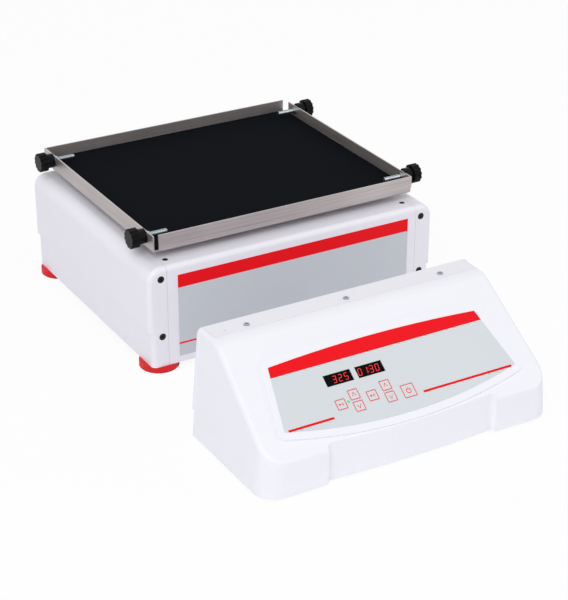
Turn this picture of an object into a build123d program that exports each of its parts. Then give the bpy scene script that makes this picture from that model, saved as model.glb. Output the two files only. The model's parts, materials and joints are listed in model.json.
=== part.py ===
from build123d import *
import os
from math import cos, radians, sin, tan

os.makedirs("parts", exist_ok=True)

# An orbital shaker with a stainless tray on three cranks, and its free-standing controller.
# Millimetres. The origin lies on the bench at the middle of the tray's orbit,
# +X to the right, +Y to the back and +Z up. At rest every eccentric pin points to the back.

# Fits shared by all pieces
running_clearance = 0.05
hole_clearance = 0.2
seam_gap = 0.3
seat_gap = 0.3

# Housing
housing_width = 370.0
housing_depth = 315.0
housing_height = 120.3
foot_height = 8.0
end_cover_width = 22.8
end_cover_wall = 3.0
end_top_radius = 16.0
corner_radius = 8.0
bend_radius = 6.0
side_step = 3.0
side_step_height = 43.0
cover_sheet = 1.5
base_thickness = 6.0

# Feet
foot_radius = 22.7
foot_inset = 20.0
foot_screw_radius = 3.0
foot_screw_head_radius = 6.0
foot_screw_head_height = 3.5
foot_screw_depth = 4.0
foot_recess_radius = 7.0
foot_edge_chamfer = 1.0
foot_screw_socket_radius = 2.5

# Corner posts and the screws that hold the covers
countersink_angle = 82.0
post_sheet = 4.0
post_width = 27.3
post_corner_inset = 4.0
tab_setback = 3.0
post_return = 26.0
post_height = 106.0
cover_screw_radius = 2.0
cover_screw_head_radius = 4.0
cover_screw_length = 10.0
cover_screw_socket_radius = 1.6
top_screw_head_radius = 3.2
top_screw_length = 8.0
top_screw_socket_radius = 1.3
front_screw_inset = 15.7
front_screw_heights = (44.9, 115.0)
top_screw_inset_x = 30.5
top_screw_inset_y = 18.5

# Front panel film
film_thickness = 0.5
film_left_inset = 36.1
film_right_inset = 34.0
film_bottom = 16.0
film_top = 115.8

# Orbit and cranks
orbit_diameter = 19.0
driven_crank_from_front = 79.5
idler_crank_x = 100.0
idler_crank_from_back = 95.5
shaft_radius = 10.0
shaft_shoulder_radius = 13.0
shaft_shoulder_height = 3.7
pin_radius = 8.5
pin_shoulder_radius = 10.0
crank_disc_radius = 20.0
crank_disc_thickness = 6.0
pin_edge_chamfer = 1.0
counterweight_thickness = 12.0
driven_counterweight_radius = 60.0
idler_counterweight_radius = 52.0
counterweight_gap = 1.0
counterweight_corner_radius = 5.0

# Shaft bearings and their housings
bearing_outer_radius = 23.5
bearing_height = 14.0
barrel_radius = 29.0
barrel_height = 62.0
bearing_shoulder = 3.0
shield_depth = 0.8
flange_radius = 42.0
flange_thickness = 8.0
flange_screw_circle = 35.0
flange_edge_chamfer = 1.5
base_screw_radius = 2.5
base_screw_head_radius = 4.5
base_screw_head_height = 5.0
base_screw_socket_radius = 2.0
base_screw_bite = 5.0

# Pulleys, belt and motor
pulley_width = 11.0
driven_pulley_radius = 50.0
motor_pulley_radius = 15.0
pulley_rim = 1.2
pulley_rim_width = 1.0
pulley_web_thickness = 5.0
pulley_rim_thickness = 6.0
pulley_hub_wall = 8.0
pulley_opening_radius = 8.0
belt_width = 8.4
belt_thickness = 2.0
belt_gap = 0.3
motor_x = -114.0
motor_radius = 38.0
motor_height = 58.0
motor_flange_width = 84.0
motor_screw_pitch = 68.0
motor_boss_height = 3.0
motor_flange_thickness = 6.0
motor_flange_corner_radius = 6.0
motor_edge_chamfer = 3.0
motor_shaft_radius = 6.0
motor_shaft_depth = 30.0

# Speed sensor on a bent bracket beside the driven barrel
sensor_x = 44.0
sensor_foot = 16.0
sensor_sheet = 2.0
sensor_width = 18.0
sensor_head = 14.0
sensor_head_height = 10.0
sensor_gap = 1.0
sensor_screw_x = 54.0

# Platform
platform_bearing_radius = 20.0
platform_bearing_height = 12.0
platform_hub_radius = 25.0
hub_gap = 1.5
hub_bore_radius = 13.0
carrier_thickness = 5.0
carrier_boss_radius = 42.0
carrier_window_radius = 28.0
carrier_window_y = 30.0
cover_opening_gap = 3.0
tray_width = 336.0
tray_depth = 294.6
tray_floor_height = 137.5
tray_flange_height = 20.5
tray_sheet = 1.6
tray_bend_radius = 3.0
front_flange_gap = 7.0
back_flange_gap = 4.1
back_flange_left_gap = 2.4
right_flange_gap = 11.2
corner_relief_height = 8.0
corner_relief_width = 5.0
mat_thickness = 5.4
mat_gap = 0.6
mat_corner_radius = 3.0
mat_edge_chamfer = 0.8
tray_screw_radius = 2.5
tray_screw_head_radius = 3.9
tray_screw_bite = 4.0
tray_screw_socket_radius = 1.6
tray_screw_offset = 33.0

# Thumbscrews
clamp_from_front = 18.8
clamp_from_back = 27.8
clamp_height = 14.8
stud_radius = 2.9
stud_reach = 24.5
knob_radius = 11.3
knob_head = 10.0
knob_hub_radius = 8.5
knob_hub = 9.0
knob_bore_depth = 12.0
knob_flutes = 12
knob_flute_radius = 1.6
knob_edge_chamfer = 0.8
insert_radius = 4.2
insert_flange_radius = 6.0
insert_flange = 1.0
insert_inside = 3.0

# Controller body
console_x = -28.7
console_rear_y = -293.5
console_foot_height = 2.0
console_height = 122.5
console_depth = 154.0
console_wall = 3.0
console_bottom_half = 176.0
console_top_half = 165.5
console_corner_radius = 24.0
pod_inner_x = 97.0
pod_inner_radius = 5.5
recess_side_depth = 148.0
recess_middle_depth = 151.5
roof_edge_radius = 6.0
roof_bend_radius = 25.0
panel_angle = 35.0
panel_top_depth = 72.9
panel_top_height = 102.1
plateau_rise = 2.5
plateau_margin = 8.0
console_boss_radius = 5.0
console_boss_x = 150.0
console_boss_back = 18.0
console_boss_front = 128.0
strip_boss_radius = 4.0
strip_boss_height = 8.0

# Controller sheet work
console_sheet = 1.5
strip_end_margin = 4.5
strip_depth = 26.0
strip_screw_pitch = 119.4
strip_screw_depth = 17.7
rear_step_height = 30.0
rear_overhang = 1.5
rear_tuck = 3.0
console_screw_radius = 1.5
console_screw_head_radius = 3.2
console_screw_head_height = 1.2
console_screw_length = 9.0
console_screw_socket_radius = 1.3
console_foot_radius = 8.0
console_foot_x = 125.0
console_foot_back = 20.0
console_foot_front = 134.0
strip_hole_radius = 1.2
strip_hole_x = -145.0

# Controller panel, measured down the slope from the film's top edge
console_film_top_half = 126.0
console_film_bottom_half = 140.0
console_film_side = 71.0
console_film_top_bulge = 5.0
console_film_bottom_bulge = 17.0
display_width = 31.6
display_height = 12.8
speed_display_x = -58.5
time_display_x = -20.9
display_slope = 31.3
lamp_radius = 1.5
lamp_x = -60.2
lamp_slope = 59.0
key_size = 11.8
power_key_size = 15.2
key_thickness = 1.6
key_gap = 0.2
key_corner_radius = 1.0
key_stem_radius = 1.5
pocket_depth = 1.5
speed_toggle_x = -69.0
speed_arrow_x = -51.0
time_toggle_x = -31.9
time_arrow_x = -13.2
power_key_x = 8.7
toggle_slope = 59.6
arrow_up_slope = 52.9
arrow_down_slope = 66.5
power_key_slope = 65.6
board_depth = 12.0
board_thickness = 1.6
board_left = -86.0
board_right = 26.0
board_top_slope = 20.0
board_bottom_slope = 78.0
board_post_radius = 3.0
board_post_inset = 5.0
switch_size = 6.0
switch_height = 5.0
switch_gap = 0.35
display_recess = 0.2
lamp_height = 0.6

# Connectors and supply
inlet_x = -105.0
inlet_height = 42.0
inlet_width = 27.0
inlet_tall = 20.0
inlet_bezel = 3.0
inlet_bezel_thickness = 2.5
inlet_body_depth = 22.0
inlet_cavity_width = 24.0
inlet_cavity_tall = 16.5
inlet_cavity_depth = 17.0
inlet_pin_depth = 6.0
inlet_pin_width = 2.0
inlet_pin_tall = 4.0
inlet_pin_x = 7.0
inlet_pin_z = 2.5
inlet_corner_radius = 3.0
socket_width = 31.0
socket_tall = 12.5
socket_plate = 1.0
socket_shell_width = 17.0
socket_shell_tall = 8.6
socket_shell_depth = 6.0
socket_body_depth = 9.0
socket_body_width = 19.0
socket_body_tall = 10.8
socket_post_x = 12.5
socket_post_radius = 2.4
socket_post_length = 5.0
socket_corner_radius = 1.5
socket_shell_angle = 80.0
console_socket_x = 20.0
shaker_socket_x = 120.0
socket_height = 42.0
supply_width = 110.0
supply_depth = 62.0
supply_x = -95.0
supply_from_rear = 62.0
supply_foot = 3.0
supply_foot_radius = 3.0
supply_foot_inset = 5.0
transformer_width = 36.0
transformer_depth = 32.0
transformer_height = 28.0
capacitor_radius = 9.0
capacitor_height = 26.0
supply_part_pitch = 36.667
heat_sink_width = 3.0
heat_sink_height = 24.0

# Levels and places worked out from the sizes above
underside = foot_height
housing_top = underside + housing_height
half_width = housing_width / 2
half_depth = housing_depth / 2
film_width = housing_width - film_left_inset - film_right_inset
film_middle_x = (film_left_inset - film_right_inset) / 2
seam_x = half_width - end_cover_width
base_top = underside + base_thickness
base_half_width = half_width - side_step - end_cover_wall - seam_gap
base_half_depth = half_depth - end_cover_wall - seam_gap
driven_crank_y = driven_crank_from_front - half_depth
idler_crank_y = half_depth - idler_crank_from_back
eccentricity = orbit_diameter / 2
barrel_top = base_top + barrel_height
motor_top = base_top + motor_height + motor_boss_height
pulley_bottom = barrel_top + seat_gap + shaft_shoulder_height
pulley_top = pulley_bottom + pulley_width
belt_bottom = pulley_bottom + (pulley_width - belt_width) / 2
sensor_top = pulley_bottom - sensor_gap
counterweight_bottom = pulley_top + counterweight_gap
counterweight_top = counterweight_bottom + counterweight_thickness
disc_top = counterweight_top + crank_disc_thickness
carrier_top = tray_floor_height
carrier_bottom = carrier_top - carrier_thickness
hub_bottom = disc_top + hub_gap
platform_bearing_bottom = hub_bottom + hub_gap
platform_bearing_top = platform_bearing_bottom + platform_bearing_height
pin_top = platform_bearing_top + hub_gap
cover_opening_radius = platform_hub_radius + eccentricity + cover_opening_gap
crank_places = {
    "drive": (0.0, driven_crank_y),
    "idler_left": (-idler_crank_x, idler_crank_y),
    "idler_right": (idler_crank_x, idler_crank_y),
}
hub_places = [(x, y + eccentricity) for x, y in crank_places.values()]
tray_screw_places = [
    (x + side * tray_screw_offset, y) for x, y in hub_places for side in (-1, 1)
]
post_outer_x = base_half_width - post_corner_inset
post_inner_x = post_outer_x - post_width
post_top = housing_top - cover_sheet
tab_outer_x = seam_x - seam_gap
front_screw_x = half_width - front_screw_inset
top_screw_x = half_width - top_screw_inset_x
top_screw_y = half_depth - top_screw_inset_y
foot_x = half_width - foot_inset
foot_y = half_depth - foot_inset
tray_y = eccentricity
tray_half_width = tray_width / 2
tray_half_depth = tray_depth / 2
tray_floor_top = tray_floor_height + tray_sheet
stud_z = tray_floor_height + clamp_height
clamp_places = (tray_y - tray_half_depth + clamp_from_front, tray_y + tray_half_depth - clamp_from_back)
console_bottom = console_foot_height
console_top = console_bottom + console_height
strip_half = console_top_half - strip_end_margin
panel = Plane(
    origin=(console_x, console_rear_y - panel_top_depth, panel_top_height),
    x_dir=(1, 0, 0),
    z_dir=(0, -sin(radians(panel_angle)), cos(radians(panel_angle))),
)


def save(part, label):
    part.label = label
    export_step(part, f"parts/{label}.step")


# A plane on a front (-1) or back (1) face, its Z axis pointing out of the face
def face_plane(x, y, z, outward):
    return Plane(origin=(x, y, z), x_dir=(-outward, 0, 0), z_dir=(0, outward, 0))


# The covers share one outer form: a wide upper band with a rounded top on a narrower lower band
def housing_form(inset):
    step_z = underside + side_step_height + inset
    with BuildPart() as form:
        with BuildSketch(Plane.XZ) as front:
            with Locations((0, (step_z + housing_top - inset) / 2)):
                Rectangle(housing_width - 2 * inset, housing_top - inset - step_z)
            fillet(front.vertices().group_by(Axis.Y)[-1], end_top_radius - inset)
        extrude(amount=half_depth - inset, both=True)
        rims = form.faces().filter_by(Axis.Y).edges()
        fillet([edge for edge in rims if edge.center().Z > step_z + side_step], bend_radius - inset)
        with BuildSketch(Plane.XY.offset(underside)):
            RectangleRounded(
                housing_width - 2 * side_step - 2 * inset, housing_depth - 2 * inset, bend_radius - inset
            )
        extrude(amount=step_z - underside)
    return form.part


def end_cover(side):
    with BuildPart() as cover:
        add(housing_form(0))
        add(housing_form(end_cover_wall), mode=Mode.SUBTRACT)
        with BuildSketch(Plane.XY.offset(underside)):
            with Locations((side * (seam_x + housing_width / 2), 0)):
                Rectangle(housing_width, 2 * housing_depth)
        extrude(amount=housing_height, mode=Mode.INTERSECT)
        for end in (-1, 1):
            for height in front_screw_heights:
                with Locations(face_plane(side * front_screw_x, end * half_depth, height, end)):
                    CounterSinkHole(
                        radius=cover_screw_radius + hole_clearance,
                        counter_sink_radius=cover_screw_head_radius + hole_clearance,
                        depth=2 * end_cover_wall,
                    )
    return cover.part


save(end_cover(-1), "left_end_cover")
save(end_cover(1), "right_end_cover")


# Base frame: a thick plate and four corner posts with a tab each under the centre cover
with BuildPart() as base_frame:
    with BuildSketch(Plane.XY.offset(underside)):
        RectangleRounded(2 * base_half_width, 2 * base_half_depth, corner_radius)
    extrude(amount=base_thickness)
    for side in (-1, 1):
        for end in (-1, 1):
            return_y = end * (base_half_depth - tab_setback - post_return / 2)
            with BuildSketch(Plane.XY.offset(base_top)):
                post_middle_x = side * (post_outer_x + post_inner_x) / 2
                with Locations((post_middle_x, end * (base_half_depth - post_sheet / 2))):
                    Rectangle(post_width, post_sheet)
            extrude(amount=post_height)
            with BuildSketch(Plane.XY.offset(base_top)):
                with Locations((side * (post_inner_x + post_sheet / 2), return_y)):
                    Rectangle(post_sheet, post_return)
            extrude(amount=post_top - base_top)
            with BuildSketch(Plane.XY.offset(post_top - post_sheet)):
                with Locations((side * (tab_outer_x + post_inner_x) / 2, return_y)):
                    Rectangle(tab_outer_x - post_inner_x, post_return)
            extrude(amount=post_sheet)
            for height in front_screw_heights:
                with Locations(face_plane(side * front_screw_x, end * half_depth, height, end)):
                    Hole(cover_screw_radius + hole_clearance, depth=end_cover_wall + 2 * post_sheet)
            with Locations((side * top_screw_x, end * top_screw_y, housing_top)):
                Hole(cover_screw_radius + hole_clearance, depth=cover_sheet + 2 * post_sheet)
    with Locations((0, 0, base_top)):
        with GridLocations(2 * foot_x, 2 * foot_y, 2, 2):
            Hole(foot_screw_radius + hole_clearance, depth=2 * base_thickness)
    for x, y in crank_places.values():
        with Locations((x, y, base_top)):
            with PolarLocations(flange_screw_circle, 3, start_angle=90):
                Hole(base_screw_radius + hole_clearance, depth=2 * base_thickness)
    with Locations((motor_x, driven_crank_y, base_top)):
        with GridLocations(motor_screw_pitch, motor_screw_pitch, 2, 2):
            Hole(base_screw_radius + hole_clearance, depth=2 * base_thickness)
    with Locations((sensor_screw_x, driven_crank_y, base_top)):
        Hole(base_screw_radius + hole_clearance, depth=2 * base_thickness)
save(base_frame.part, "base_frame")


# Centre cover: one folded sheet over front, top and back, open at both ends
with BuildPart() as centre_cover:
    with BuildSketch(Plane.YZ) as fold:
        with Locations((0, underside + housing_height / 2)):
            Rectangle(housing_depth, housing_height)
        fillet(fold.vertices().group_by(Axis.Y)[-1], bend_radius)
        offset(amount=-cover_sheet, mode=Mode.SUBTRACT)
        with Locations((0, underside + cover_sheet)):
            Rectangle(housing_depth - 2 * cover_sheet, 2 * cover_sheet, mode=Mode.SUBTRACT)
    extrude(amount=seam_x - seam_gap, both=True)
    for x, y in crank_places.values():
        with Locations((x, y, housing_top)):
            Hole(cover_opening_radius, depth=2 * cover_sheet)
    with Locations((0, 0, housing_top)):
        with GridLocations(2 * top_screw_x, 2 * top_screw_y, 2, 2):
            CounterSinkHole(
                radius=cover_screw_radius + hole_clearance,
                counter_sink_radius=top_screw_head_radius + hole_clearance,
                depth=2 * cover_sheet,
            )
    with BuildSketch(face_plane(shaker_socket_x, half_depth, socket_height, 1)):
        Rectangle(socket_body_width + 2 * hole_clearance, socket_body_tall + 2 * hole_clearance)
    extrude(amount=-2 * cover_sheet, mode=Mode.SUBTRACT)
save(centre_cover.part, "centre_cover")


with BuildPart() as front_film:
    with BuildSketch(face_plane(0, -half_depth, 0, -1)):
        with Locations((film_middle_x, (film_bottom + film_top) / 2)):
            Rectangle(film_width, film_top - film_bottom)
    extrude(amount=film_thickness)
save(front_film.part, "front_film")


# A countersunk screw with its head's face at the plane's origin and its shank below
def countersunk_screw(head_radius, shank_radius, length, socket_radius):
    with BuildPart() as screw:
        with BuildSketch(Plane.XZ):
            with BuildLine():
                Polyline(
                    (0, 0),
                    (head_radius, 0),
                    (shank_radius, -(head_radius - shank_radius) / tan(radians(countersink_angle / 2))),
                    (shank_radius, -length),
                    (0, -length),
                    close=True,
                )
            make_face()
        revolve(axis=Axis.Z)
        with BuildSketch(Plane.XY):
            RegularPolygon(socket_radius, 6)
        extrude(amount=-socket_radius, mode=Mode.SUBTRACT)
    return screw.part


# A screw with a flat round head that stands on the surface, its seat at the plane's origin
def headed_screw(head_radius, head_height, shank_radius, length, socket_radius):
    with BuildPart() as screw:
        with BuildSketch(Plane.XY):
            Circle(head_radius)
        extrude(amount=head_height)
        chamfer(screw.faces().sort_by(Axis.Z)[-1].edges(), head_height / 5)
        with BuildSketch(Plane.XY):
            Circle(shank_radius)
        extrude(amount=-length)
        with BuildSketch(Plane.XY.offset(head_height)):
            RegularPolygon(socket_radius, 6)
        extrude(amount=-head_height / 2, mode=Mode.SUBTRACT)
    return screw.part


with BuildPart() as cover_screws:
    for side in (-1, 1):
        for end in (-1, 1):
            for height in front_screw_heights:
                with Locations(face_plane(side * front_screw_x, end * half_depth, height, end)):
                    add(
                        countersunk_screw(
                            cover_screw_head_radius,
                            cover_screw_radius,
                            cover_screw_length,
                            cover_screw_socket_radius,
                        )
                    )
            with Locations((side * top_screw_x, end * top_screw_y, housing_top)):
                add(
                    countersunk_screw(
                        top_screw_head_radius,
                        cover_screw_radius,
                        top_screw_length,
                        top_screw_socket_radius,
                    )
                )
save(cover_screws.part, "cover_screws")


# Feet: red rubber discs, each with a screw up through a recess in its middle
with BuildPart() as rubber_feet:
    with BuildSketch():
        with GridLocations(2 * foot_x, 2 * foot_y, 2, 2):
            Circle(foot_radius)
    extrude(amount=foot_height)
    chamfer(rubber_feet.edges().group_by(Axis.Z)[0], foot_edge_chamfer)
    with GridLocations(2 * foot_x, 2 * foot_y, 2, 2):
        Hole(foot_screw_radius + hole_clearance, depth=2 * foot_height)
    with BuildSketch():
        with GridLocations(2 * foot_x, 2 * foot_y, 2, 2):
            Circle(foot_recess_radius)
    extrude(amount=foot_screw_depth, mode=Mode.SUBTRACT)
save(rubber_feet.part, "rubber_feet")

with BuildPart() as foot_screws:
    with Locations(Plane(origin=(0, 0, foot_screw_depth), z_dir=(0, 0, -1))):
        with GridLocations(2 * foot_x, 2 * foot_y, 2, 2):
            add(
                headed_screw(
                    foot_screw_head_radius,
                    foot_screw_head_height,
                    foot_screw_radius,
                    foot_height - foot_screw_depth + base_thickness,
                    foot_screw_socket_radius,
                )
            )
save(foot_screws.part, "foot_screws")


# Bearing housing: a flanged barrel with a seat for a ball bearing at each end
def bearing_housing(x, y):
    with BuildPart() as housing:
        with BuildSketch(Plane.XY.offset(base_top)):
            with Locations((x, y)):
                Circle(flange_radius)
        extrude(amount=flange_thickness)
        chamfer(housing.edges().group_by(Axis.Z)[-1], flange_edge_chamfer)
        with BuildSketch(Plane.XY.offset(base_top)):
            with Locations((x, y)):
                Circle(barrel_radius)
        extrude(amount=barrel_height)
        with Locations((x, y, barrel_top)):
            Hole(bearing_outer_radius - bearing_shoulder, depth=barrel_height)
        for seat in (base_top, barrel_top - bearing_height):
            with BuildSketch(Plane.XY.offset(seat)):
                with Locations((x, y)):
                    Circle(bearing_outer_radius)
            extrude(amount=bearing_height, mode=Mode.SUBTRACT)
        with Locations((x, y, base_top + flange_thickness)):
            with PolarLocations(flange_screw_circle, 3, start_angle=90):
                Hole(base_screw_radius + hole_clearance, depth=flange_thickness)
    return housing.part


for name, (x, y) in crank_places.items():
    save(bearing_housing(x, y), f"{name}_bearing_housing")


# A sealed ball bearing unit, drawn as one ring with its two shields set back
def bearing_ring(bore_radius, outer_radius, height):
    race = (outer_radius - bore_radius) / 4
    with BuildPart() as ring:
        with BuildSketch():
            Circle(outer_radius)
            Circle(bore_radius, mode=Mode.SUBTRACT)
        extrude(amount=height)
        for level in (0, height - shield_depth):
            with BuildSketch(Plane.XY.offset(level)):
                Circle(outer_radius - race)
                Circle(bore_radius + race, mode=Mode.SUBTRACT)
            extrude(amount=shield_depth, mode=Mode.SUBTRACT)
    return ring.part


with BuildPart() as shaft_bearings:
    for x, y in crank_places.values():
        with Locations((x, y, base_top), (x, y, barrel_top - bearing_height)):
            add(bearing_ring(shaft_radius + running_clearance, bearing_outer_radius, bearing_height))
save(shaft_bearings.part, "shaft_bearings")

with BuildPart() as base_screws:
    for x, y in crank_places.values():
        with Locations((x, y, base_top + flange_thickness)):
            with PolarLocations(flange_screw_circle, 3, start_angle=90):
                add(
                    headed_screw(
                        base_screw_head_radius,
                        base_screw_head_height,
                        base_screw_radius,
                        flange_thickness + base_screw_bite,
                        base_screw_socket_radius,
                    )
                )
    with Locations((motor_x, driven_crank_y, base_top + motor_flange_thickness)):
        with GridLocations(motor_screw_pitch, motor_screw_pitch, 2, 2):
            add(
                headed_screw(
                    base_screw_head_radius,
                    base_screw_head_height,
                    base_screw_radius,
                    motor_flange_thickness + base_screw_bite,
                    base_screw_socket_radius,
                )
            )
    with Locations((sensor_screw_x, driven_crank_y, base_top + sensor_sheet)):
        add(
            headed_screw(
                base_screw_head_radius,
                base_screw_head_height,
                base_screw_radius,
                sensor_sheet + base_screw_bite,
                base_screw_socket_radius,
            )
        )
save(base_screws.part, "base_screws")


# Cranks: shaft, shoulder, disc and eccentric pin in one turned piece
def crank(x, y, shoulder_top):
    with BuildPart() as turned:
        for low, high, radius in (
            (base_top + seat_gap, counterweight_top, shaft_radius),
            (barrel_top + seat_gap, shoulder_top, shaft_shoulder_radius),
            (counterweight_top, disc_top, crank_disc_radius),
        ):
            with BuildSketch(Plane.XY.offset(low)):
                with Locations((x, y)):
                    Circle(radius)
            extrude(amount=high - low)
        for high, radius in (
            (platform_bearing_bottom - seat_gap, pin_shoulder_radius),
            (pin_top, pin_radius),
        ):
            with BuildSketch(Plane.XY.offset(disc_top)):
                with Locations((x, y + eccentricity)):
                    Circle(radius)
            extrude(amount=high - disc_top)
        chamfer(turned.edges().group_by(Axis.Z)[-1], pin_edge_chamfer)
    return turned.part


# Counterweights: half discs on the side away from the pin
def counterweight(x, y, radius):
    with BuildPart() as weight:
        with BuildSketch(Plane.XY.offset(counterweight_bottom)) as half:
            with Locations((x, y)):
                Circle(radius)
            with Locations((x, y + radius)):
                Rectangle(2 * radius, 2 * radius, mode=Mode.SUBTRACT)
            fillet(half.vertices(), counterweight_corner_radius)
            with Locations((x, y)):
                Circle(crank_disc_radius)
                Circle(shaft_radius, mode=Mode.SUBTRACT)
        extrude(amount=counterweight_thickness)
    return weight.part


for name, (x, y) in crank_places.items():
    driven = name == "drive"
    save(crank(x, y, pulley_bottom if driven else counterweight_bottom), f"{name}_crank")
    radius = driven_counterweight_radius if driven else idler_counterweight_radius
    save(counterweight(x, y, radius), f"{name}_counterweight")


# Driven pulley: hub, thin web with round openings and a plain rim
with BuildPart() as driven_pulley:
    with BuildSketch(Plane.XY.offset(pulley_bottom)):
        with Locations((0, driven_crank_y)):
            Circle(driven_pulley_radius)
            Circle(driven_pulley_radius - pulley_rim_thickness, mode=Mode.SUBTRACT)
    extrude(amount=pulley_width)
    with BuildSketch(Plane.XY.offset(pulley_bottom + (pulley_width - pulley_web_thickness) / 2)):
        with Locations((0, driven_crank_y)):
            Circle(driven_pulley_radius - pulley_rim_thickness)
            with PolarLocations((driven_pulley_radius + shaft_radius) / 2, 6):
                Circle(pulley_opening_radius, mode=Mode.SUBTRACT)
    extrude(amount=pulley_web_thickness)
    with BuildSketch(Plane.XY.offset(pulley_bottom)):
        with Locations((0, driven_crank_y)):
            Circle(shaft_radius + pulley_hub_wall)
    extrude(amount=pulley_width + counterweight_gap)
    with Locations((0, driven_crank_y, pulley_top + counterweight_gap)):
        Hole(shaft_radius, depth=2 * pulley_width)
save(driven_pulley.part, "driven_pulley")


# Motor: square mounting flange, round can, a boss at the top and a bore for the shaft
with BuildPart() as motor_case:
    with BuildSketch(Plane.XY.offset(base_top)):
        with Locations((motor_x, driven_crank_y)):
            RectangleRounded(motor_flange_width, motor_flange_width, motor_flange_corner_radius)
    extrude(amount=motor_flange_thickness)
    with Locations((motor_x, driven_crank_y, base_top + motor_flange_thickness)):
        with GridLocations(motor_screw_pitch, motor_screw_pitch, 2, 2):
            Hole(base_screw_radius + hole_clearance, depth=motor_flange_thickness)
    with BuildSketch(Plane.XY.offset(base_top)):
        with Locations((motor_x, driven_crank_y)):
            Circle(motor_radius)
    extrude(amount=motor_height)
    chamfer(motor_case.edges().group_by(Axis.Z)[-1], motor_edge_chamfer)
    with BuildSketch(Plane.XY.offset(base_top + motor_height)):
        with Locations((motor_x, driven_crank_y)):
            Circle(2 * motor_shaft_radius)
    extrude(amount=motor_boss_height)
    with Locations((motor_x, driven_crank_y, motor_top)):
        Hole(motor_shaft_radius + running_clearance, depth=motor_shaft_depth)
save(motor_case.part, "motor_case")

with BuildPart() as motor_shaft:
    with BuildSketch(Plane.XY.offset(motor_top - motor_shaft_depth + seat_gap)):
        with Locations((motor_x, driven_crank_y)):
            Circle(motor_shaft_radius)
    extrude(amount=pulley_top - motor_top + motor_shaft_depth - seat_gap)
save(motor_shaft.part, "motor_shaft")

with BuildPart() as motor_pulley:
    with BuildSketch(Plane.XY.offset(pulley_bottom)):
        with Locations((motor_x, driven_crank_y)):
            Circle(motor_pulley_radius)
    extrude(amount=pulley_width)
    with BuildSketch(Plane.XY.offset(pulley_bottom), Plane.XY.offset(pulley_top - pulley_rim_width)):
        with Locations((motor_x, driven_crank_y)):
            Circle(motor_pulley_radius + pulley_rim)
    extrude(amount=pulley_rim_width)
    with Locations((motor_x, driven_crank_y, pulley_top)):
        Hole(motor_shaft_radius, depth=2 * pulley_width)
save(motor_pulley.part, "motor_pulley")


# The belt's outline at a given distance outside both pulleys
def belt_outline(distance):
    with BuildSketch(Plane.XY.offset(belt_bottom)) as outline:
        with Locations((0, driven_crank_y)):
            Circle(driven_pulley_radius + distance)
        with Locations((motor_x, driven_crank_y)):
            Circle(motor_pulley_radius + distance)
        make_hull()
    return outline.sketch


with BuildPart() as drive_belt:
    add(belt_outline(belt_gap + belt_thickness))
    extrude(amount=belt_width)
    add(belt_outline(belt_gap))
    extrude(amount=belt_width, mode=Mode.SUBTRACT)
save(drive_belt.part, "drive_belt")


# Speed sensor: a bent bracket that holds the pick-up under the driven pulley's rim
with BuildPart() as speed_sensor:
    with BuildSketch(Plane.XZ.offset(-driven_crank_y)):
        with BuildLine():
            Polyline(
                (sensor_x, base_top),
                (sensor_x + sensor_foot, base_top),
                (sensor_x + sensor_foot, base_top + sensor_sheet),
                (sensor_x + sensor_sheet, base_top + sensor_sheet),
                (sensor_x + sensor_sheet, sensor_top - sensor_sheet),
                (sensor_x, sensor_top - sensor_sheet),
                close=True,
            )
        make_face()
    extrude(amount=sensor_width / 2, both=True)
    with BuildSketch(Plane.XY.offset(sensor_top - sensor_head_height)):
        with Locations((sensor_x + sensor_sheet - sensor_head / 2, driven_crank_y)):
            RectangleRounded(sensor_head, sensor_width, sensor_sheet)
    extrude(amount=sensor_head_height)
    with Locations((sensor_screw_x, driven_crank_y, base_top + sensor_sheet)):
        Hole(base_screw_radius + hole_clearance, depth=2 * sensor_sheet)
save(speed_sensor.part, "speed_sensor")


# Platform carrier: a three-cornered plate with a bearing hub below each corner
with BuildPart() as platform_carrier:
    with BuildSketch(Plane.XY.offset(carrier_bottom)) as plate:
        with Locations(*hub_places):
            Circle(carrier_boss_radius)
        make_hull()
        with Locations((0, carrier_window_y)):
            Circle(carrier_window_radius, mode=Mode.SUBTRACT)
    extrude(amount=carrier_thickness)
    with BuildSketch(Plane.XY.offset(hub_bottom)):
        with Locations(*hub_places):
            Circle(platform_hub_radius)
    extrude(amount=carrier_bottom - hub_bottom)
    with BuildSketch(Plane.XY.offset(hub_bottom)):
        with Locations(*hub_places):
            Circle(hub_bore_radius)
    extrude(amount=pin_top + hub_gap - hub_bottom, mode=Mode.SUBTRACT)
    with BuildSketch(Plane.XY.offset(hub_bottom)):
        with Locations(*hub_places):
            Circle(platform_bearing_radius)
    extrude(amount=platform_bearing_top - hub_bottom, mode=Mode.SUBTRACT)
    with Locations(*[(x, y, carrier_top) for x, y in tray_screw_places]):
        Hole(tray_screw_radius + hole_clearance, depth=carrier_thickness)
save(platform_carrier.part, "platform_carrier")

with BuildPart() as platform_bearings:
    with Locations(*[(x, y, platform_bearing_bottom) for x, y in hub_places]):
        add(bearing_ring(pin_radius + running_clearance, platform_bearing_radius, platform_bearing_height))
save(platform_bearings.part, "platform_bearings")


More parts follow.
